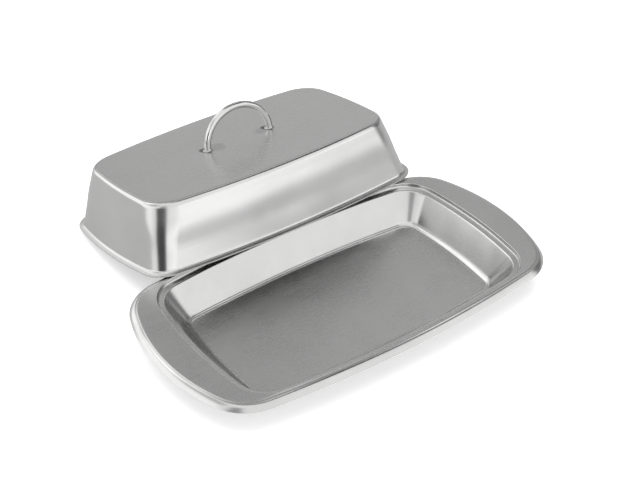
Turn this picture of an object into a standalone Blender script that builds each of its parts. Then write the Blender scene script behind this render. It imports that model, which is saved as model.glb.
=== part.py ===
"""Butter dish: a pressed steel tray and a drawn steel lid with a welded wire handle.

The lid is off the tray. It stands on its back rim behind the tray and leans forward on the tray's back corners.
Origin: the middle of the tray's underside. +X runs along the dish, +Y towards the lid, +Z up. Metres.
"""
from collections import namedtuple
from math import atan2, cos, hypot, pi, radians, sin, sqrt, tan

import bmesh
import bpy
from mathutils import Vector

# A section is a horizontal slice: a rectangle whose four sides bow outwards and whose corners are rounded.
Section = namedtuple("Section", "half_length half_width end_bow side_bow corner z")

SHEET = 0.0007                  # thickness of both pressed sheets
GAP = 0.0003                    # kept between pieces that touch

# Tray
RIM_HEIGHT = 0.0170             # of the wings and the long rims, above the table
LIP_DROP = 0.0030               # how far the outer edge turns down
LIP_LEAN = radians(30)          # of the turned-down lip, outwards from upright
LIP_ROUND = 0.0024              # from the lip's sharp corner to where its rounding starts
LEDGE_DROP = 0.0020             # the lid's seat below the rim
LEDGE_WIDTH = 0.0030
STEP_DRAFT = 0.0003             # the step down to the ledge leans by this much
STEP_ROUND = 0.0005
MOUTH_ROUND = 0.0010
FLOOR_ROUND = 0.0025
TRAY = Section(0.1000, 0.0538, 0.0935, 0.610, 0.0240, RIM_HEIGHT - LIP_DROP)
MOUTH = Section(0.0790, 0.0458, 0.200, 0.550, 0.0142, RIM_HEIGHT - LEDGE_DROP)
FLOOR = Section(0.0694, 0.0350, 0.220, 0.740, 0.0080, SHEET)

# Lid, in its own frame: the origin is in the middle of its mouth, the underside of the rim is at z = 0
SEAT_PLAY = 0.0008              # between the lid's rim and the step round the ledge
LID_HEIGHT = 0.0320
LID_RIM_CORNER = 0.0145
FLARE_WIDTH = 0.0025            # of the lid's thin rim
FLARE_RISE = 0.0006
FLARE_ROUND = 0.0010
TOP_ROUND = 0.0025
LID_TOP = Section(0.0703, 0.0398, 0.247, 0.450, 0.0160, LID_HEIGHT)

# Handle and its welds
WIRE_RADIUS = 0.00175
ARCH_HALF_WIDTH = 0.0184
ARCH_RISE = 0.0170              # of the arch above its two short legs
ARCH_LEG = 0.0008
HANDLE_PLACE = (0.0013, 0.0013)  # off the middle of the lid's top, in x and y
WELD_RADIUS = 0.0036
WELD_HEIGHT = 0.0015
WELD_FLANK = (1.0, 0.4, 0.1)    # where the bead's hollow flank has a point, in shares of its width

# Where the lid stands
LEAN = radians(11.1)            # of the lid, top backwards
LID_SIDEWAYS = 0.0054
LID_BEHIND = 0.0875

# Fineness
END_STEPS = 3
CORNER_STEPS = 7
SIDE_STEPS = 4
ROUND_STEPS = 3
ARCH_STEPS = 26
WELD_STEPS = 24

STEEL = (0.60, 0.60, 0.60)


def clear_scene():
    for old in list(bpy.data.objects):
        bpy.data.objects.remove(old, do_unlink=True)


def make_collection(name):
    collection = bpy.data.collections.new(name)
    bpy.context.scene.collection.children.link(collection)
    return collection


def make_material(name, colour, roughness):
    material = bpy.data.materials.new(name)
    material.use_nodes = True
    shader = material.node_tree.nodes["Principled BSDF"]
    shader.inputs["Base Color"].default_value = (*colour, 1.0)
    shader.inputs["Roughness"].default_value = roughness
    shader.inputs["Metallic"].default_value = 1.0
    return material


def grown(section, outward, z=None):
    """The same section offset outwards, at its own height or at another."""
    return Section(*(size + outward for size in section[:5]), section.z if z is None else z)


def mixed(first, second, share):
    """The section a share of the way from the first to the second."""
    return Section(*(a + (b - a) * share for a, b in zip(first, second)))


def profile_distance(first, second):
    return hypot(first.half_width - second.half_width, first.z - second.z)


def rounded_corner(before, corner, after, size):
    """Sections that lead round a corner of the profile, from size before it to size after it."""
    start = mixed(corner, before, size / profile_distance(corner, before))
    end = mixed(corner, after, size / profile_distance(corner, after))
    shares = [step / ROUND_STEPS for step in range(ROUND_STEPS + 1)]
    return [mixed(mixed(start, corner, share), mixed(corner, end, share), share) for share in shares]


def arc(centre, radius, start, end, steps):
    """Points of an arc, without its last."""
    turn = (end - start) / steps
    angles = [start + turn * step for step in range(steps)]
    return [(centre[0] + radius * cos(angle), centre[1] + radius * sin(angle)) for angle in angles]


def section_points(section):
    """One turn round a section, anticlockwise from +X: bowed end, corner and bowed side in each quarter."""
    end_centre = (section.half_length - section.end_bow, 0.0)
    side_centre = (0.0, section.half_width - section.side_bow)
    # The corner arc lies inside the end's arc and the side's arc and touches both
    to_end = section.end_bow - section.corner
    to_side = section.side_bow - section.corner
    apart_x = side_centre[0] - end_centre[0]
    apart_y = side_centre[1] - end_centre[1]
    apart = hypot(apart_x, apart_y)
    along = (to_end ** 2 - to_side ** 2 + apart ** 2) / (2 * apart)
    across = sqrt(to_end ** 2 - along ** 2)
    centre = (end_centre[0] + (along * apart_x - across * apart_y) / apart,
              end_centre[1] + (along * apart_y + across * apart_x) / apart)
    end_turn = atan2(centre[1] - end_centre[1], centre[0] - end_centre[0])
    side_turn = atan2(centre[1] - side_centre[1], centre[0] - side_centre[0])
    quarter = arc(end_centre, section.end_bow, 0.0, end_turn, END_STEPS)
    quarter += arc(centre, section.corner, end_turn, side_turn, CORNER_STEPS)
    quarter += arc(side_centre, section.side_bow, side_turn, pi / 2, SIDE_STEPS)
    top = (0.0, section.half_width)
    half = quarter + [top] + [(-x, y) for x, y in reversed(quarter[1:])]
    other_half = [(-x, -y) for x, y in half]
    return [Vector((x, y, section.z)) for x, y in half + other_half]


def lofted_sheet(name, sections, material):
    """An open surface through the sections, closed at the last one, with the sheet's thickness behind it."""
    mesh = bpy.data.meshes.new(name)
    shape = bmesh.new()
    rings = [[shape.verts.new(point) for point in section_points(section)] for section in sections]
    for ring, following in zip(rings, rings[1:]):
        for index in range(len(ring)):
            after = (index + 1) % len(ring)
            shape.faces.new((ring[index], ring[after], following[after], following[index]))
    shape.faces.new(rings[-1])
    shape.to_mesh(mesh)
    shape.free()
    mesh.materials.append(material)
    mesh.shade_smooth()
    sheet = bpy.data.objects.new(name, mesh)
    thickness = sheet.modifiers.new("sheet thickness", "SOLIDIFY")
    thickness.thickness = SHEET
    thickness.offset = -1.0
    thickness.use_even_offset = True
    return sheet


def make_tray(material):
    rim_edge = grown(TRAY, -LIP_DROP * tan(LIP_LEAN), RIM_HEIGHT)
    step_top = grown(MOUTH, LEDGE_WIDTH + STEP_DRAFT, RIM_HEIGHT)
    step_foot = grown(MOUTH, LEDGE_WIDTH)
    flat_floor = grown(FLOOR, -2 * FLOOR_ROUND)
    # The wing is wide and the long rim narrow, so level neighbours give each rounding there its direction
    inside_edge = grown(rim_edge, -2 * LIP_ROUND)
    outside_step = grown(step_top, 2 * STEP_ROUND)
    sections = [TRAY]
    sections += rounded_corner(TRAY, rim_edge, inside_edge, LIP_ROUND)
    sections += rounded_corner(outside_step, step_top, step_foot, STEP_ROUND)
    sections += rounded_corner(step_top, step_foot, MOUTH, STEP_ROUND)
    sections += rounded_corner(step_foot, MOUTH, FLOOR, MOUTH_ROUND)
    sections += rounded_corner(MOUTH, FLOOR, flat_floor, FLOOR_ROUND)
    return lofted_sheet("tray", sections, material)


def lid_rim_section():
    """The outer edge of the lid's rim, on its upper face. It sits inside the step round the tray's ledge."""
    seated = grown(MOUTH, LEDGE_WIDTH - SEAT_PLAY, SHEET)
    return seated._replace(corner=LID_RIM_CORNER)


def make_lid_cover(material):
    rim = lid_rim_section()
    wall_foot = grown(rim, -FLARE_WIDTH, SHEET + FLARE_RISE)
    flat_top = grown(LID_TOP, -2 * TOP_ROUND)
    sections = [rim]
    sections += rounded_corner(rim, wall_foot, LID_TOP, FLARE_ROUND)
    sections += rounded_corner(wall_foot, LID_TOP, flat_top, TOP_ROUND)
    return lofted_sheet("lid_cover", sections, material)


def make_lid_handle(material):
    """A bent wire, lengthways on the lid: two short legs and an arch between them, a little flatter than round."""
    foot = LID_HEIGHT + GAP
    shoulder = LID_HEIGHT + ARCH_LEG
    turns = [pi * step / ARCH_STEPS for step in range(ARCH_STEPS + 1)]
    arch = [(ARCH_HALF_WIDTH * cos(turn), shoulder + ARCH_RISE * sin(turn)) for turn in turns]
    route = [(ARCH_HALF_WIDTH, foot)] + arch + [(-ARCH_HALF_WIDTH, foot)]
    curve = bpy.data.curves.new("lid_handle", "CURVE")
    curve.dimensions = "3D"
    curve.bevel_depth = WIRE_RADIUS
    curve.bevel_resolution = 2
    curve.use_fill_caps = True
    spline = curve.splines.new("POLY")
    spline.points.add(len(route) - 1)
    for point, (x, z) in zip(spline.points, route):
        point.co = (x, 0.0, z, 1.0)
    curve.materials.append(material)
    handle = bpy.data.objects.new("lid_handle", curve)
    handle.location = (*HANDLE_PLACE, 0.0)
    return handle


def make_weld(name, x, material):
    """A bead of weld metal round one foot of the wire: a turned ring with a hollow flank."""
    inner = WIRE_RADIUS + GAP
    width = WELD_RADIUS - inner
    flank = [(inner + width * share, WELD_HEIGHT * (1 - sqrt(share))) for share in WELD_FLANK]
    outline = [(inner, 0.0), (inner, WELD_HEIGHT)] + list(reversed(flank))
    mesh = bpy.data.meshes.new(name)
    edges = [(index, (index + 1) % len(outline)) for index in range(len(outline))]
    mesh.from_pydata([(radius, 0.0, height) for radius, height in outline], edges, [])
    mesh.materials.append(material)
    bead = bpy.data.objects.new(name, mesh)
    turning = bead.modifiers.new("turned", "SCREW")
    turning.steps = WELD_STEPS
    turning.render_steps = WELD_STEPS
    turning.use_merge_vertices = True
    turning.merge_threshold = 0.00001
    turning.use_smooth_shade = True
    bead.location = (HANDLE_PLACE[0] + x, HANDLE_PLACE[1], LID_HEIGHT + GAP)
    return bead


def make_lid_frame():
    """Where the lid stands: the middle of its mouth, with its back rim on the table."""
    frame = bpy.data.objects.new("lid_frame", None)
    back_rim = lid_rim_section().half_width
    frame.location = (LID_SIDEWAYS, LID_BEHIND, back_rim * sin(LEAN))
    frame.rotation_euler = (-LEAN, 0.0, 0.0)
    return frame


def main():
    clear_scene()
    dish = make_collection("butter_dish")
    satin = make_material("satin_steel", STEEL, 0.30)
    wire = make_material("wire_steel", STEEL, 0.22)
    weld = make_material("weld_steel", STEEL, 0.45)
    lid_pieces = [
        make_lid_cover(satin),
        make_lid_handle(wire),
        make_weld("handle_weld_left", -ARCH_HALF_WIDTH, weld),
        make_weld("handle_weld_right", ARCH_HALF_WIDTH, weld),
    ]
    lid_frame = make_lid_frame()
    for piece in lid_pieces:
        piece.parent = lid_frame
    for piece in [make_tray(satin), lid_frame] + lid_pieces:
        dish.objects.link(piece)


main()
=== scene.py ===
"""Looks of the butter dish: brushed steel sheets, wire handle and weld beads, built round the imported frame.

The fine meshes replace the CAD solids and share their driving sizes, apart from the slopes of the tray's rim,
ledge and lip, the slight bulge of the lid's walls and the smaller weld beads. Metres, +X along the dish, +Y
towards the lid, +Z up.
"""
from collections import namedtuple
from math import atan2, cos, hypot, pi, radians, sin, sqrt, tan

import bmesh
import bpy
from mathutils import Matrix, Vector

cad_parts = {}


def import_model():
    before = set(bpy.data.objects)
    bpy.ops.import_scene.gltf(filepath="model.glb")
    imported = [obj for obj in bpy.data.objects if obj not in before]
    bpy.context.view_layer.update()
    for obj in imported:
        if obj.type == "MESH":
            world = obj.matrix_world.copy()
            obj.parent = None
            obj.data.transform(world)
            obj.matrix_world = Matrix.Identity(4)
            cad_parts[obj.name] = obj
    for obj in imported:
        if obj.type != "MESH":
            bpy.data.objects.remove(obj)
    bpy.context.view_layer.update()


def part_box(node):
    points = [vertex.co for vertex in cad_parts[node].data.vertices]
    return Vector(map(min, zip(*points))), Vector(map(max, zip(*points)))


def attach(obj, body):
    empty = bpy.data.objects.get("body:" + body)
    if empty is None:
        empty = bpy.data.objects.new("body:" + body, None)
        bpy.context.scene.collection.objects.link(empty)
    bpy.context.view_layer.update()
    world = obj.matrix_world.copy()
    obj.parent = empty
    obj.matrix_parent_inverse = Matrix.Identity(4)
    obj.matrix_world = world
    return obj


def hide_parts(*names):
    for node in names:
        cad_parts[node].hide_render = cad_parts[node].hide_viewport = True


# A section is a horizontal slice: a rectangle whose four sides bow outwards and whose corners are rounded.
Section = namedtuple("Section", "half_length half_width end_bow side_bow corner z")

SHEET = 0.0007                  # thickness of both pressed sheets
CUT_EDGE_ROUND = 0.00025        # the deburred edge of a sheet
CUT_EDGE_STEPS = 3
CUT_EDGE_ANGLE = radians(60)    # only the sheet's own edges turn more sharply than this

# Tray
LIP_DROP = 0.0030               # from the rim's height to the cut edge
LIP_LEAN = radians(38)
LIP_ROUND = 0.0020
RIM_FALL = 0.00045              # of the rim, from the step outwards
LEDGE_DROP = 0.0020
LEDGE_WIDTH = 0.0030
LEDGE_FALL = 0.0004             # of the ledge, inwards
STEP_DRAFT = 0.0003
STEP_ROUND = 0.0006
MOUTH_ROUND = 0.0007
FLOOR_ROUND = 0.0025
RIM_SLOPE = 0.15                # of the long rims
TRAY_BOWS = (0.0935, 0.610, 0.0240)                  # end_bow, side_bow and corner of the outer edge
MOUTH_SIZE = (0.0790, 0.0458, 0.200, 0.550, 0.0142)  # a section's sizes, all but its height
FLOOR_SIZE = (0.0694, 0.0350, 0.220, 0.740, 0.0080)

# Lid, in its own frame: the origin is in the middle of its mouth, the underside of the rim is at z = 0
SEAT_PLAY = 0.0008              # room for the lid's rim inside the tray's step
LID_HEIGHT = 0.0320
LID_RIM_CORNER = 0.0145
FLARE_WIDTH = 0.0025
FLARE_RISE = 0.0006
FLARE_ROUND = 0.0010
WALL_BULGE = 0.00025            # of the pressed walls, outwards
BULGE_FOOT = 0.3                # share of a wall's height below its bulge
TOP_ROUND = 0.0025
LID_TOP_SIZE = (0.0703, 0.0398, 0.247, 0.450, 0.0160)
LEAN = radians(11.1)

# Handle and its welds
GAP = 0.0003                    # between the wire's feet and the lid's top, hidden by the beads
WIRE_RADIUS = 0.00175
ARCH_HALF_WIDTH = 0.0184
ARCH_RISE = 0.0170
ARCH_LEG = 0.0008
HANDLE_PLACE = (0.0013, 0.0013)
WELD_RADIUS = 0.0027
WELD_HEIGHT = 0.0010
WELD_SLUMP = 2.2                # power by which a bead's height falls away from the wire
WELD_CREASE = radians(50)
WELD_LIFT = 0.0001              # off the lid's top
WELD_RIPPLES = 11               # round one bead
WELD_RIPPLE_HEIGHT = 0.00008
SCORCH = (-0.0017, 0.0017, 0.0032)      # heat mark beside a foot: its middle, from the foot's, and radius
SMUDGE = (0.0050, 0.0, 0.0055)          # fainter mark on the foot's inner side

# Fineness of the visible meshes
END_STEPS = 10
CORNER_STEPS = 20
SIDE_STEPS = 16
ROUND_STEPS = 8
FLAT_STEPS = 12
ARCH_STEPS = 96
WIRE_SIDES = 24
WELD_TURNS = 88
WELD_STEPS = 8

# Camera: the viewing angle, and the point it aims at, from the middle of the tray's underside
VIEW_AZIMUTH = radians(-37.06)
VIEW_ELEVATION = radians(37.64)
VIEW_ROLL = radians(1.11)
VIEW_DISTANCE = 0.657
VIEW_AIM = Vector((0.01424, 0.04232, 0.0))
LENS = 76.2
SENSOR = 36.0
CLIP_START = 0.01

# What most of a noise's values lie between
NOISE_SPREAD = (0.3, 0.7)
GRAIN_SPREAD = (0.25, 0.75)
WEAR_SPREAD = (0.45, 0.6)
WELD_SPREAD = (0.35, 0.65)

# Brushed steel
SATIN_COLOUR = (0.62, 0.62, 0.615)
SATIN_ROUGHNESS = 0.22
SATIN_GRAIN = 0.0000012         # depth of the brushing
WIRE_COLOUR = (0.66, 0.66, 0.655)
WIRE_ROUGHNESS = 0.11
WIRE_GRAIN = 0.0000015
GRAIN_ALONG = 40.0              # cycles a metre along the brushing, and across it
GRAIN_ACROSS = 2600.0
GRAIN_TINT = (0.985, 1.012)
GRAIN_POLISH = 0.02             # change of roughness between the grain's lines
CLOUDS = 38.0                   # faint clouding of the satin finish, in cycles a metre
CLOUD_POLISH = 0.015
CLOUDING = (0.05, 0.02)         # its change of tint on walls, and on level faces
LEVEL = (0.88, 0.97)            # upright part of the normal where a face starts to be level, and fully is
LEVEL_DULLING = 0.06            # level faces are this much rougher
WAVES = (14.0, 34.0, 34.0)      # slow waviness of pressed sheet
WAVE_DEPTH = 0.0009
LEVEL_WAVES = 0.25              # share of it on level faces
BUMP_STRENGTH = 0.5
WEAR_TINT = 1.05                # of the rubbed edges and roundings
WEAR_POLISH = 0.05
WEAR_LEAST = 0.3                # share of wear where the clouding spares a rounding
MARK_RAGGED = 0.3               # share of a heat mark's radius by which its edge wanders
MARK_CORE = 0.45                # share of it that is fully burnt
MARK_DULLING = 0.15
SCORCH_TINT = 0.30
SMUDGE_TINT = 0.85

# Weld metal
WELD_TONES = (0.42, 0.62)
WELD_WARMTH = (("Red", 1.0), ("Green", 0.97), ("Blue", 0.93))
WELD_CLOUDS = 420.0
WELD_GRIT = 1900.0
WELD_GRIT_DEPTH = 0.00006
WELD_GRIT_STRENGTH = 0.7
WELD_ROUGHNESS = (0.22, 0.36)

# Studio: soft panels round the dish. Azimuth 0 is in front of the tray, 90 to its right; degrees.
Panel = namedtuple("Panel", "azimuth elevation half_width half_height edge light")
SURROUND = 1.15                 # the room's own light, at the table's height and straight above
OVERHEAD = 1.10
PANELS = (
    Panel(5, 8.5, 50, 5, 2, 1.67),        # long low strip light in front
    Panel(10, 0, 60, 3, 1.5, 0.65),       # the table's far edge under it
    Panel(-130, 10, 42, 18, 6, 1.40),     # another on the left, low behind
    Panel(122, 48, 48, 55, 4, 0.36),      # grey drape on the right
    Panel(85, 64, 27, 17, 6, 0.06),       # its dark upper fold
    Panel(77, 9, 13, 24, 6, 0.20),        # its dark lower fold
    Panel(142, 13, 19, 21, 5, 0.59),      # paler reflector low behind, on the right
    Panel(127, 53, 13, 6, 3, 1.50),       # strip light above it
    Panel(-56, 38, 12, 14, 5, 0.45),      # grey card beside the camera
    Panel(-56, 8, 18, 17, 3, 0.03),       # black flag under it
    Panel(-111, 49, 25, 12, 4, 0.67),     # grey band high on the left
    Panel(-158, 47, 22, 8, 4, 1.70),      # strip light beside it, high behind
)
FLOOR_SEEN = 0.80               # how pale the floor is to the camera
FLOOR_GLOW = 0.50               # evens the shadows that the camera sees
FLOOR_REFLECTED = 0.50          # a little darker in the steel, as the table's far edge would be
FLOOR_CLOUDS = 3.0              # cycles a metre
FLOOR_TONES = (0.99, 1.0)
FLOOR_ROUGHNESS = 0.85
FLOOR_SHINE = 0.2
FLOOR_SIDES = 96
FLOOR_RADIUS = 6.0
FLOOR_DROP = 0.0002             # under the dish, so that nothing shares its plane
PALE = 1.0                      # what the camera sees beyond the floor
LAMP_ENERGY = 14.0              # watts
LAMP_SIZE = 1.6
LAMP_PLACE = (0.0, 0.05, 1.5)


def grown(section, outward, z=None):
    """The same section offset outwards, at its own height or at another."""
    return Section(*(size + outward for size in section[:5]), section.z if z is None else z)


def mixed(first, second, share):
    """The section a share of the way from the first to the second."""
    return Section(*(a + (b - a) * share for a, b in zip(first, second)))


def profile_distance(first, second):
    return hypot(first.half_width - second.half_width, first.z - second.z)


def rounded_corner(before, corner, after, size):
    """Sections that lead round a corner of the profile, from size before it to size after it."""
    start = mixed(corner, before, size / profile_distance(corner, before))
    end = mixed(corner, after, size / profile_distance(corner, after))
    shares = [step / ROUND_STEPS for step in range(ROUND_STEPS + 1)]
    return [mixed(mixed(start, corner, share), mixed(corner, end, share), share) for share in shares]


def arc(centre, radius, start, end, steps):
    """Points of an arc, without its last."""
    turn = (end - start) / steps
    angles = [start + turn * step for step in range(steps)]
    return [(centre[0] + radius * cos(angle), centre[1] + radius * sin(angle)) for angle in angles]


def section_points(section):
    """One turn round a section, anticlockwise from +X: bowed end, corner and bowed side in each quarter."""
    end_centre = (section.half_length - section.end_bow, 0.0)
    side_centre = (0.0, section.half_width - section.side_bow)
    # The corner arc lies inside the end's arc and the side's arc and touches both
    to_end = section.end_bow - section.corner
    to_side = section.side_bow - section.corner
    apart_x = side_centre[0] - end_centre[0]
    apart_y = side_centre[1] - end_centre[1]
    apart = hypot(apart_x, apart_y)
    along = (to_end ** 2 - to_side ** 2 + apart ** 2) / (2 * apart)
    across = sqrt(to_end ** 2 - along ** 2)
    centre = (end_centre[0] + (along * apart_x - across * apart_y) / apart,
              end_centre[1] + (along * apart_y + across * apart_x) / apart)
    end_turn = atan2(centre[1] - end_centre[1], centre[0] - end_centre[0])
    side_turn = atan2(centre[1] - side_centre[1], centre[0] - side_centre[0])
    quarter = arc(end_centre, section.end_bow, 0.0, end_turn, END_STEPS)
    quarter += arc(centre, section.corner, end_turn, side_turn, CORNER_STEPS)
    quarter += arc(side_centre, section.side_bow, side_turn, pi / 2, SIDE_STEPS)
    top = (0.0, section.half_width)
    half = quarter + [top] + [(-x, y) for x, y in reversed(quarter[1:])]
    other_half = [(-x, -y) for x, y in half]
    return [Vector((x, y, section.z)) for x, y in half + other_half]


def joined_profile(first, roundings, bulge=0.0):
    """All sections of a profile, and how rounded each is: 0 on a flat, 1 in the middle of a rounding.

    A flat between two roundings bulges outwards."""
    sections, bends = [first], [0.0]
    for number, rounding in enumerate(roundings):
        last = sections[-1]
        for step in range(1, FLAT_STEPS):
            share = step / FLAT_STEPS
            risen = max(share - BULGE_FOOT, 0.0) / (1 - BULGE_FOOT)
            outward = bulge * sin(pi * risen) ** 2 if number else 0.0
            sections.append(grown(mixed(last, rounding[0], share), outward))
            bends.append(0.0)
        for step, section in enumerate(rounding):
            sections.append(section)
            bends.append(sin(pi * step / (len(rounding) - 1)))
    return sections, bends


def lofted_sheet(name, sections, bends):
    """A closed sheet through the sections.

    It keeps how rounded each place is, and the way round it, for the steel's wear and grain."""
    mesh = bpy.data.meshes.new(name)
    shape = bmesh.new()
    bend = shape.verts.layers.float.new("bend")
    around = shape.loops.layers.uv.new("around")
    rings = []
    lengths = []
    profile = [0.0]
    for index, section in enumerate(sections):
        points = section_points(section)
        ring = [shape.verts.new(point) for point in points]
        for vertex in ring:
            vertex[bend] = bends[index]
        rings.append(ring)
        steps = [(points[i] - points[i - 1]).length for i in range(1, len(points))]
        lengths.append([sum(steps[:i]) for i in range(len(points))] + [sum(steps)])
        if index:
            profile.append(profile[-1] + profile_distance(sections[index - 1], section))
    for row in range(len(rings) - 1):
        ring, following = rings[row], rings[row + 1]
        for index in range(len(ring)):
            after = (index + 1) % len(ring)
            face = shape.faces.new((ring[index], ring[after], following[after], following[index]))
            corners = ((row, index), (row, index + 1), (row + 1, index + 1), (row + 1, index))
            for loop, (at_row, at_index) in zip(face.loops, corners):
                loop[around].uv = (lengths[0][at_index], profile[at_row])
    cap = shape.faces.new(rings[-1])
    for loop in cap.loops:
        loop[around].uv = (loop.vert.co.x, loop.vert.co.y)
    shape.to_mesh(mesh)
    shape.free()
    mesh.shade_smooth()
    sheet = bpy.data.objects.new(name, mesh)
    bpy.context.scene.collection.objects.link(sheet)
    thickness = sheet.modifiers.new("sheet thickness", "SOLIDIFY")
    thickness.thickness = SHEET
    thickness.offset = -1.0
    thickness.use_even_offset = True
    deburred = sheet.modifiers.new("deburred edge", "BEVEL")
    deburred.width = CUT_EDGE_ROUND
    deburred.segments = CUT_EDGE_STEPS
    deburred.limit_method = "ANGLE"
    deburred.angle_limit = CUT_EDGE_ANGLE
    flats = sheet.modifiers.new("true flats", "WEIGHTED_NORMAL")
    flats.keep_sharp = False
    return sheet


def tray_outline():
    """The tray's turned-down edge, sized by the CAD tray."""
    _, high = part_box("tray")
    return Section(high.x, high.y, *TRAY_BOWS, high.z - LIP_DROP)


def make_tray():
    edge = tray_outline()
    rim_height = edge.z + LIP_DROP
    ledge_height = rim_height - LEDGE_DROP
    mouth = Section(*MOUTH_SIZE, ledge_height - LEDGE_FALL)
    floor = Section(*FLOOR_SIZE, SHEET)
    rim_edge = grown(edge, -(LIP_DROP - RIM_FALL) * tan(LIP_LEAN), rim_height - RIM_FALL)
    step_top = grown(mouth, LEDGE_WIDTH + STEP_DRAFT, rim_height)
    step_foot = grown(mouth, LEDGE_WIDTH, ledge_height)
    # The wing is wide and the long rim narrow, so near neighbours give each rounding there its direction
    inside_edge = grown(rim_edge, -2 * LIP_ROUND, rim_edge.z + 2 * LIP_ROUND * RIM_SLOPE)
    outside_step = grown(step_top, 2 * STEP_ROUND, rim_height - 2 * STEP_ROUND * RIM_SLOPE)
    sections, bends = joined_profile(edge, (
        rounded_corner(edge, rim_edge, inside_edge, LIP_ROUND),
        rounded_corner(outside_step, step_top, step_foot, STEP_ROUND),
        rounded_corner(step_top, step_foot, mouth, STEP_ROUND),
        rounded_corner(step_foot, mouth, floor, MOUTH_ROUND),
        rounded_corner(mouth, floor, grown(floor, -2 * FLOOR_ROUND), FLOOR_ROUND),
    ))
    return lofted_sheet("tray_sheet", sections, bends)


def lid_rim_section():
    """The outer edge of the lid's rim, on its upper face."""
    seated = grown(Section(*MOUTH_SIZE, SHEET), LEDGE_WIDTH - SEAT_PLAY)
    return seated._replace(corner=LID_RIM_CORNER)


def lid_place():
    """Where the lid leans: the middle of its mouth, worked out from the CAD lid's box."""
    low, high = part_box("lid_cover")
    rim = lid_rim_section()
    behind = high.y - rim.half_width * cos(LEAN)
    place = Matrix.Translation(((low.x + high.x) / 2, behind, rim.half_width * sin(LEAN)))
    return place @ Matrix.Rotation(-LEAN, 4, "X")


def make_lid():
    rim = lid_rim_section()
    top = Section(*LID_TOP_SIZE, LID_HEIGHT)
    wall_foot = grown(rim, -FLARE_WIDTH, SHEET + FLARE_RISE)
    sections, bends = joined_profile(rim, (
        rounded_corner(rim, wall_foot, top, FLARE_ROUND),
        rounded_corner(wall_foot, top, grown(top, -2 * TOP_ROUND), TOP_ROUND),
    ), WALL_BULGE)
    lid = lofted_sheet("lid_sheet", sections, bends)
    lid.matrix_world = lid_place()
    return lid


def handle_route():
    """The wire's middle line, in the lid's frame: a leg, an arch and a leg."""
    middle, back = HANDLE_PLACE
    shoulder = LID_HEIGHT + ARCH_LEG
    arch = []
    for step in range(ARCH_STEPS + 1):
        turn = pi * step / ARCH_STEPS
        arch.append(Vector((middle + ARCH_HALF_WIDTH * cos(turn), back, shoulder + ARCH_RISE * sin(turn))))
    foot = LID_HEIGHT + GAP
    return [Vector((arch[0].x, back, foot))] + arch + [Vector((arch[-1].x, back, foot))]


def make_handle():
    """The bent wire as a closed tube."""
    mesh = bpy.data.meshes.new("handle_wire")
    shape = bmesh.new()
    around = shape.loops.layers.uv.new("around")
    route = handle_route()
    rings = []
    travelled = [0.0]
    for index, point in enumerate(route):
        before, after = route[max(index - 1, 0)], route[min(index + 1, len(route) - 1)]
        along = (after - before).normalized()
        side = Vector((0.0, 1.0, 0.0))
        up = side.cross(along)
        turns = [2 * pi * step / WIRE_SIDES for step in range(WIRE_SIDES)]
        rings.append([shape.verts.new(point + WIRE_RADIUS * (side * cos(t) + up * sin(t))) for t in turns])
        if index:
            travelled.append(travelled[-1] + (point - route[index - 1]).length)
    for row in range(len(rings) - 1):
        for index in range(WIRE_SIDES):
            after = (index + 1) % WIRE_SIDES
            face = shape.faces.new((rings[row][index], rings[row][after],
                                    rings[row + 1][after], rings[row + 1][index]))
            corners = ((row, index), (row, index + 1), (row + 1, index + 1), (row + 1, index))
            for loop, (at_row, at_index) in zip(face.loops, corners):
                share = at_index / WIRE_SIDES
                loop[around].uv = (travelled[at_row], 2 * pi * WIRE_RADIUS * share)
    shape.faces.new(rings[-1])
    shape.faces.new(reversed(rings[0]))
    bmesh.ops.recalc_face_normals(shape, faces=shape.faces)
    shape.to_mesh(mesh)
    shape.free()
    mesh.shade_smooth()
    wire = bpy.data.objects.new("handle_wire", mesh)
    bpy.context.scene.collection.objects.link(wire)
    wire.matrix_world = lid_place()
    return wire


def handle_foot(side):
    """Where the wire meets the lid's top, on one side: -1 or 1."""
    return HANDLE_PLACE[0] + side * ARCH_HALF_WIDTH, HANDLE_PLACE[1]


def weld_marks():
    """Marks that the welding left on the lid's top: middle, radius and tint of each."""
    marks = []
    for side in (-1, 1):
        x, y = handle_foot(side)
        marks.append(((x + SCORCH[0], y + SCORCH[1], LID_HEIGHT), SCORCH[2], SCORCH_TINT))
        marks.append(((x - side * SMUDGE[0], y + SMUDGE[1], LID_HEIGHT), SMUDGE[2], SMUDGE_TINT))
    return marks


def make_weld(name, side):
    """A bead of weld metal round one foot of the wire, with the ripples of a weld run."""
    mesh = bpy.data.meshes.new(name)
    shape = bmesh.new()
    inner = WIRE_RADIUS
    width = WELD_RADIUS - inner
    rings = []
    for turn in range(WELD_TURNS):
        angle = 2 * pi * turn / WELD_TURNS
        ripple = WELD_RIPPLE_HEIGHT * (0.5 + 0.5 * cos(WELD_RIPPLES * angle))
        outline = [(inner, 0.0)]
        for step in range(WELD_STEPS + 1):
            share = step / WELD_STEPS
            height = (WELD_HEIGHT - ripple * sin(pi * share)) * (1 - share) ** WELD_SLUMP
            outline.append((inner + width * share - ripple * share, height))
        rings.append([shape.verts.new((r * cos(angle), r * sin(angle), z)) for r, z in outline])
    for turn in range(WELD_TURNS):
        ring, following = rings[turn], rings[(turn + 1) % WELD_TURNS]
        for index in range(len(ring)):
            after = (index + 1) % len(ring)
            shape.faces.new((ring[index], following[index], following[after], ring[after]))
    bmesh.ops.recalc_face_normals(shape, faces=shape.faces)
    shape.to_mesh(mesh)
    shape.free()
    mesh.shade_smooth()
    mesh.set_sharp_from_angle(angle=WELD_CREASE)
    bead = bpy.data.objects.new(name, mesh)
    bpy.context.scene.collection.objects.link(bead)
    bead.matrix_world = lid_place() @ Matrix.Translation((*handle_foot(side), LID_HEIGHT + WELD_LIFT))
    return bead


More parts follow.
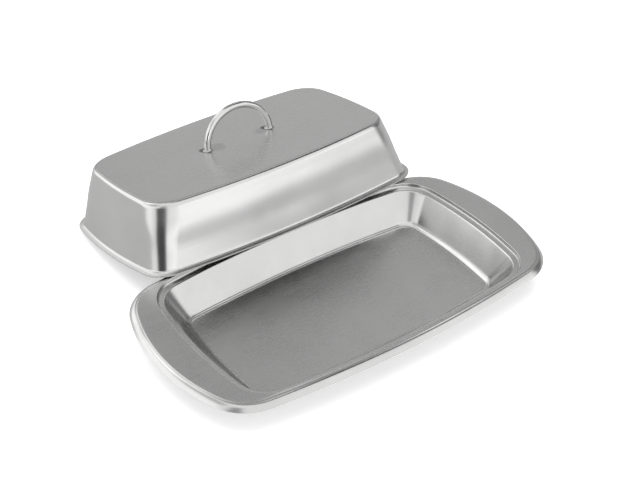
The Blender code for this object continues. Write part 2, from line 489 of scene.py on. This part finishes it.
class Nodes:
    """Short ways to add and join a material's nodes."""

    def __init__(self, tree):
        self.tree = tree

    def add(self, kind, **settings):
        node = self.tree.nodes.new(kind)
        for name, value in settings.items():
            setattr(node, name, value)
        return node

    def feed(self, socket, value):
        if hasattr(value, "is_output"):
            self.tree.links.new(value, socket)
        else:
            socket.default_value = value

    def maths(self, operation, *values):
        node = self.add("ShaderNodeMath", operation=operation)
        for socket, value in zip(node.inputs, values):
            self.feed(socket, value)
        return node.outputs[0]

    def vector(self, operation, *values):
        node = self.add("ShaderNodeVectorMath", operation=operation)
        for socket, value in zip(node.inputs, values):
            self.feed(socket, value)
        return node.outputs["Value" if operation == "DISTANCE" else "Vector"]

    def ranged(self, value, low, high, to_low, to_high, smooth=False):
        node = self.add("ShaderNodeMapRange", interpolation_type="SMOOTHSTEP" if smooth else "LINEAR")
        for name, number in (("Value", value), ("From Min", low), ("From Max", high),
                             ("To Min", to_low), ("To Max", to_high)):
            self.feed(node.inputs[name], number)
        return node.outputs["Result"]

    def noise(self, place, scale, detail=2.0, roughness=0.5):
        """Noise from 0 to 1. A scale of one number, or three for streaks, in cycles a metre."""
        spread = (scale,) * 3 if isinstance(scale, (int, float)) else scale
        stretched = self.vector("MULTIPLY", place, spread)
        node = self.add("ShaderNodeTexNoise")
        self.feed(node.inputs["Vector"], stretched)
        node.inputs["Scale"].default_value = 1.0
        node.inputs["Detail"].default_value = detail
        node.inputs["Roughness"].default_value = roughness
        return node.outputs["Fac"]


def steel_material(name, base, roughness, grain_depth, marks=()):
    """Brushed stainless steel. Flats are brushed along X, walls along their own length.

    marks are places where welding heat has dulled the steel. Each has its middle in the object's own frame,
    its radius and its tint."""
    material = bpy.data.materials.new(name)
    material.use_nodes = True
    nodes = Nodes(material.node_tree)
    shader = material.node_tree.nodes["Principled BSDF"]
    place = nodes.add("ShaderNodeTexCoord").outputs["Object"]
    around = nodes.add("ShaderNodeUVMap", uv_map="around").outputs["UV"]
    bend = nodes.add("ShaderNodeAttribute", attribute_name="bend").outputs["Fac"]
    normal = nodes.add("ShaderNodeTexCoord").outputs["Normal"]
    upright = nodes.add("ShaderNodeSeparateXYZ")
    nodes.feed(upright.inputs[0], normal)
    level = nodes.ranged(nodes.maths("ABSOLUTE", upright.outputs["Z"]), *LEVEL, 0.0, 1.0, smooth=True)

    flat_grain = nodes.noise(place, (GRAIN_ALONG, GRAIN_ACROSS, GRAIN_ACROSS), detail=3.0, roughness=0.6)
    wall_grain = nodes.noise(around, (GRAIN_ALONG, GRAIN_ACROSS, 1.0), detail=3.0, roughness=0.6)
    grain = nodes.add("ShaderNodeMix")
    nodes.feed(grain.inputs["Factor"], level)
    nodes.feed(grain.inputs["A"], wall_grain)
    nodes.feed(grain.inputs["B"], flat_grain)
    grain = grain.outputs["Result"]
    clouds = nodes.noise(place, CLOUDS, detail=4.0, roughness=0.55)
    wave = nodes.maths("MULTIPLY", nodes.noise(place, WAVES, detail=1.0),
                       nodes.ranged(level, 0.0, 1.0, 1.0, LEVEL_WAVES))

    clouding = nodes.maths("MULTIPLY", nodes.ranged(level, 0.0, 1.0, *CLOUDING),
                           nodes.ranged(clouds, *NOISE_SPREAD, -1.0, 1.0))
    tint = nodes.maths("MULTIPLY", nodes.ranged(grain, *GRAIN_SPREAD, *GRAIN_TINT),
                       nodes.maths("ADD", 1.0, clouding))
    dull, bright = roughness + GRAIN_POLISH, roughness - GRAIN_POLISH
    rough = nodes.maths("ADD", nodes.ranged(grain, *GRAIN_SPREAD, dull, bright),
                        nodes.ranged(clouds, *NOISE_SPREAD, -CLOUD_POLISH, CLOUD_POLISH))
    rough = nodes.maths("ADD", rough, nodes.ranged(level, 0.0, 1.0, 0.0, LEVEL_DULLING))
    worn = nodes.maths("MULTIPLY", bend, nodes.ranged(clouds, *WEAR_SPREAD, WEAR_LEAST, 1.0))
    tint = nodes.maths("MULTIPLY", tint, nodes.ranged(worn, 0.0, 1.0, 1.0, WEAR_TINT))
    rough = nodes.maths("SUBTRACT", rough, nodes.ranged(worn, 0.0, 1.0, 0.0, WEAR_POLISH))
    for centre, radius, mark_tint in marks:
        away = nodes.vector("DISTANCE", place, centre)
        wander = nodes.ranged(clouds, *NOISE_SPREAD, -MARK_RAGGED * radius, MARK_RAGGED * radius)
        ragged = nodes.maths("ADD", away, wander)
        burnt = nodes.ranged(ragged, MARK_CORE * radius, radius, 1.0, 0.0, smooth=True)
        tint = nodes.maths("MULTIPLY", tint, nodes.ranged(burnt, 0.0, 1.0, 1.0, mark_tint))
        rough = nodes.maths("ADD", rough, nodes.ranged(burnt, 0.0, 1.0, 0.0, MARK_DULLING))

    colour = nodes.add("ShaderNodeVectorMath", operation="SCALE")
    colour.inputs[0].default_value = base
    nodes.feed(colour.inputs["Scale"], tint)
    nodes.feed(shader.inputs["Base Color"], colour.outputs[0])
    nodes.feed(shader.inputs["Roughness"], rough)
    shader.inputs["Metallic"].default_value = 1.0

    slow = nodes.add("ShaderNodeBump")
    slow.inputs["Distance"].default_value = WAVE_DEPTH
    slow.inputs["Strength"].default_value = BUMP_STRENGTH
    nodes.feed(slow.inputs["Height"], wave)
    fine = nodes.add("ShaderNodeBump")
    fine.inputs["Distance"].default_value = grain_depth
    fine.inputs["Strength"].default_value = BUMP_STRENGTH
    nodes.feed(fine.inputs["Height"], grain)
    nodes.feed(fine.inputs["Normal"], slow.outputs["Normal"])
    nodes.feed(shader.inputs["Normal"], fine.outputs["Normal"])
    return material


def weld_material():
    """Weld metal: a little rough and straw-coloured, with uneven tone and grit."""
    material = bpy.data.materials.new("weld_metal")
    material.use_nodes = True
    nodes = Nodes(material.node_tree)
    shader = material.node_tree.nodes["Principled BSDF"]
    place = nodes.add("ShaderNodeTexCoord").outputs["Object"]
    grit = nodes.noise(place, WELD_GRIT, detail=4.0, roughness=0.65)
    clouds = nodes.noise(place, WELD_CLOUDS, detail=2.0)
    tone = nodes.ranged(clouds, *WELD_SPREAD, *WELD_TONES)
    colour = nodes.add("ShaderNodeCombineColor")
    for channel, share in WELD_WARMTH:
        nodes.feed(colour.inputs[channel], nodes.maths("MULTIPLY", tone, share))
    nodes.feed(shader.inputs["Base Color"], colour.outputs["Color"])
    nodes.feed(shader.inputs["Roughness"], nodes.ranged(grit, *NOISE_SPREAD, *WELD_ROUGHNESS))
    shader.inputs["Metallic"].default_value = 1.0
    bump = nodes.add("ShaderNodeBump")
    bump.inputs["Distance"].default_value = WELD_GRIT_DEPTH
    bump.inputs["Strength"].default_value = WELD_GRIT_STRENGTH
    nodes.feed(bump.inputs["Height"], grit)
    nodes.feed(shader.inputs["Normal"], bump.outputs["Normal"])
    return material


def floor_material():
    material = bpy.data.materials.new("pale_floor")
    material.use_nodes = True
    nodes = Nodes(material.node_tree)
    shader = material.node_tree.nodes["Principled BSDF"]
    place = nodes.add("ShaderNodeTexCoord").outputs["Object"]
    cloud = nodes.noise(place, FLOOR_CLOUDS)
    colour = nodes.add("ShaderNodeVectorMath", operation="SCALE")
    seen = nodes.add("ShaderNodeLightPath").outputs["Is Camera Ray"]
    colour.inputs[0].default_value = (1.0, 1.0, 1.0)
    tone = nodes.maths("MULTIPLY", nodes.ranged(cloud, *NOISE_SPREAD, *FLOOR_TONES),
                       nodes.ranged(seen, 0.0, 1.0, FLOOR_REFLECTED, FLOOR_SEEN))
    nodes.feed(colour.inputs["Scale"], tone)
    nodes.feed(shader.inputs["Base Color"], colour.outputs[0])
    shader.inputs["Roughness"].default_value = FLOOR_ROUGHNESS
    shader.inputs["Specular IOR Level"].default_value = FLOOR_SHINE
    nodes.feed(shader.inputs["Emission Strength"], nodes.maths("MULTIPLY", seen, FLOOR_GLOW))
    shader.inputs["Emission Color"].default_value = (1.0, 1.0, 1.0, 1.0)
    return material


def make_floor():
    bpy.ops.mesh.primitive_circle_add(vertices=FLOOR_SIDES, radius=FLOOR_RADIUS, fill_type="NGON",
                                      location=(0.0, 0.0, -FLOOR_DROP))
    floor = bpy.context.object
    floor.name = "studio_floor"
    floor.data.materials.append(floor_material())


def direction(azimuth, elevation):
    """The way to a point round the dish. Azimuth 0 is in front, 90 to the right."""
    return Vector((sin(azimuth) * cos(elevation), -cos(azimuth) * cos(elevation), sin(elevation)))


def make_world():
    """Soft studio surroundings: a pale room with panels in it, and plain pale for the camera itself."""
    world = bpy.data.worlds.new("studio")
    bpy.context.scene.world = world
    world.use_nodes = True
    nodes = Nodes(world.node_tree)
    background = world.node_tree.nodes["Background"]
    way = nodes.add("ShaderNodeSeparateXYZ")
    nodes.feed(way.inputs[0], nodes.add("ShaderNodeTexCoord").outputs["Generated"])
    azimuth = nodes.maths("ARCTAN2", way.outputs["X"], nodes.maths("MULTIPLY", way.outputs["Y"], -1.0))
    elevation = nodes.maths("ARCSINE", way.outputs["Z"])
    light = nodes.ranged(elevation, 0.0, pi / 2, SURROUND, OVERHEAD)
    for panel in PANELS:
        aside = nodes.maths("WRAP", nodes.maths("SUBTRACT", azimuth, radians(panel.azimuth)), pi, -pi)
        above = nodes.maths("SUBTRACT", elevation, radians(panel.elevation))
        inside = 1.0
        for away, half in ((aside, panel.half_width), (above, panel.half_height)):
            share = nodes.ranged(nodes.maths("ABSOLUTE", away), radians(half - panel.edge),
                                 radians(half + panel.edge), 1.0, 0.0, smooth=True)
            inside = nodes.maths("MULTIPLY", inside, share)
        mix = nodes.add("ShaderNodeMix")
        nodes.feed(mix.inputs["Factor"], inside)
        nodes.feed(mix.inputs["A"], light)
        mix.inputs["B"].default_value = panel.light
        light = mix.outputs["Result"]
    seen = nodes.add("ShaderNodeMix")
    nodes.feed(seen.inputs["Factor"], nodes.add("ShaderNodeLightPath").outputs["Is Camera Ray"])
    nodes.feed(seen.inputs["A"], light)
    seen.inputs["B"].default_value = PALE
    nodes.feed(background.inputs["Color"], seen.outputs["Result"])


def make_overhead_light():
    """A large soft light above, which brightens the floor and isn't mirrored in the steel."""
    light = bpy.data.lights.new("overhead", "AREA")
    light.shape = "DISK"
    light.size = LAMP_SIZE
    light.energy = LAMP_ENERGY
    lamp = bpy.data.objects.new("overhead", light)
    bpy.context.scene.collection.objects.link(lamp)
    lamp.location = LAMP_PLACE
    lamp.visible_glossy = False


def make_camera():
    camera = bpy.data.cameras.new("camera")
    camera.lens = LENS
    camera.sensor_width = SENSOR
    camera.clip_start = CLIP_START
    eye = bpy.data.objects.new("camera", camera)
    bpy.context.scene.collection.objects.link(eye)
    back = direction(VIEW_AZIMUTH, VIEW_ELEVATION)
    level_right = Vector((0.0, 0.0, 1.0)).cross(back).normalized()
    level_up = back.cross(level_right)
    right = level_right * cos(VIEW_ROLL) + level_up * sin(VIEW_ROLL)
    up = level_up * cos(VIEW_ROLL) - level_right * sin(VIEW_ROLL)
    turned = Matrix((right, up, back)).transposed().to_4x4()
    eye.matrix_world = Matrix.Translation(VIEW_AIM + back * VIEW_DISTANCE) @ turned
    bpy.context.scene.camera = eye


def dress(piece, material, body, slot, *nodes):
    """Gives a piece its material and ties it to the frame."""
    piece.data.materials.clear()
    piece.data.materials.append(material)
    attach(piece, body)
    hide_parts(*nodes)


def main():
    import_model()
    satin = steel_material("satin_steel_sheet", SATIN_COLOUR, SATIN_ROUGHNESS, SATIN_GRAIN)
    lid_satin = steel_material("satin_steel_lid", SATIN_COLOUR, SATIN_ROUGHNESS, SATIN_GRAIN, weld_marks())
    wire = steel_material("drawn_wire", WIRE_COLOUR, WIRE_ROUGHNESS, WIRE_GRAIN)
    weld = weld_material()
    dress(make_tray(), satin, "tray", "satin_steel", "tray")
    dress(make_lid(), lid_satin, "lid", "satin_steel", "lid_cover")
    dress(make_handle(), wire, "lid", "wire_steel", "lid_handle")
    dress(make_weld("weld_bead_left", -1), weld, "lid", "weld_steel", "handle_weld_left")
    dress(make_weld("weld_bead_right", 1), weld, "lid", "weld_steel", "handle_weld_right")
    make_floor()
    make_world()
    make_overhead_light()
    make_camera()
    bpy.context.scene.view_settings.view_transform = "Standard"


main()
